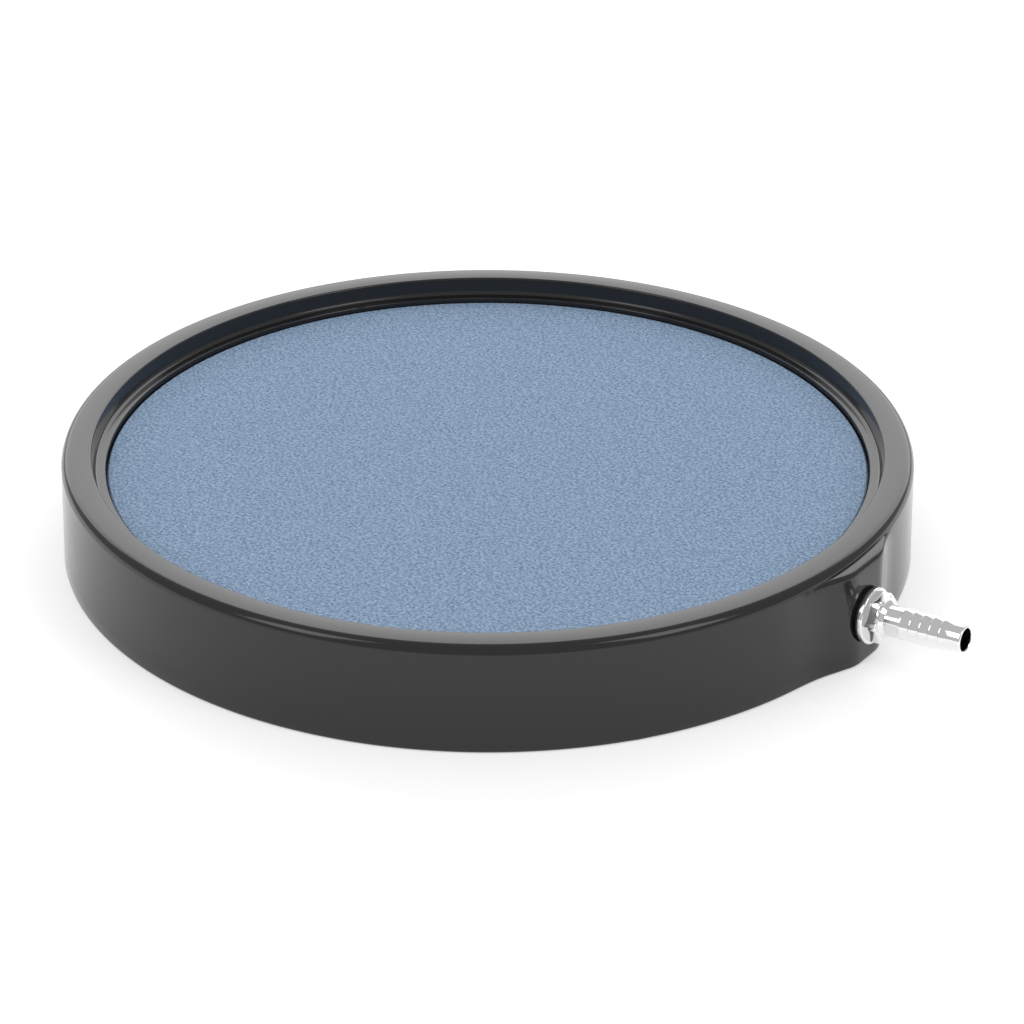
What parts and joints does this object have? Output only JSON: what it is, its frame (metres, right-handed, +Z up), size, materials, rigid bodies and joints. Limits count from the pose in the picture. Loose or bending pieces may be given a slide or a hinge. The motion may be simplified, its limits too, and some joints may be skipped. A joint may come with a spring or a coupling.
{
  "type": "fine bubble disc diffuser",
  "caption": "Round air diffuser: a black moulded dish holding a recessed sintered stone disc, with a plated hose barb screwed into a flat-faced boss on its side.",
  "frame": {"origin": "centre of the flat underside, under the middle of the disc", "axes": "+Z up, out of the stone's face; +X out along the hose barb"},
  "size_m": [0.2282, 0.2012, 0.0255],
  "materials": {
    "housing_plastic": "glossy black moulded plastic",
    "sintered_stone": "matt blue-grey sintered mineral grain",
    "sealant": "cured dark grey sealant",
    "plated_barb": "bright chrome plate over turned brass",
    "washer_rubber": "matt black rubber"
  },
  "bodies": {
    "root": {"housing": "housing_plastic", "stone_disc": "sintered_stone", "stone_sealant": "sealant", "hose_barb": "plated_barb", "barb_washer": "washer_rubber"}
  },
  "joints": []
}
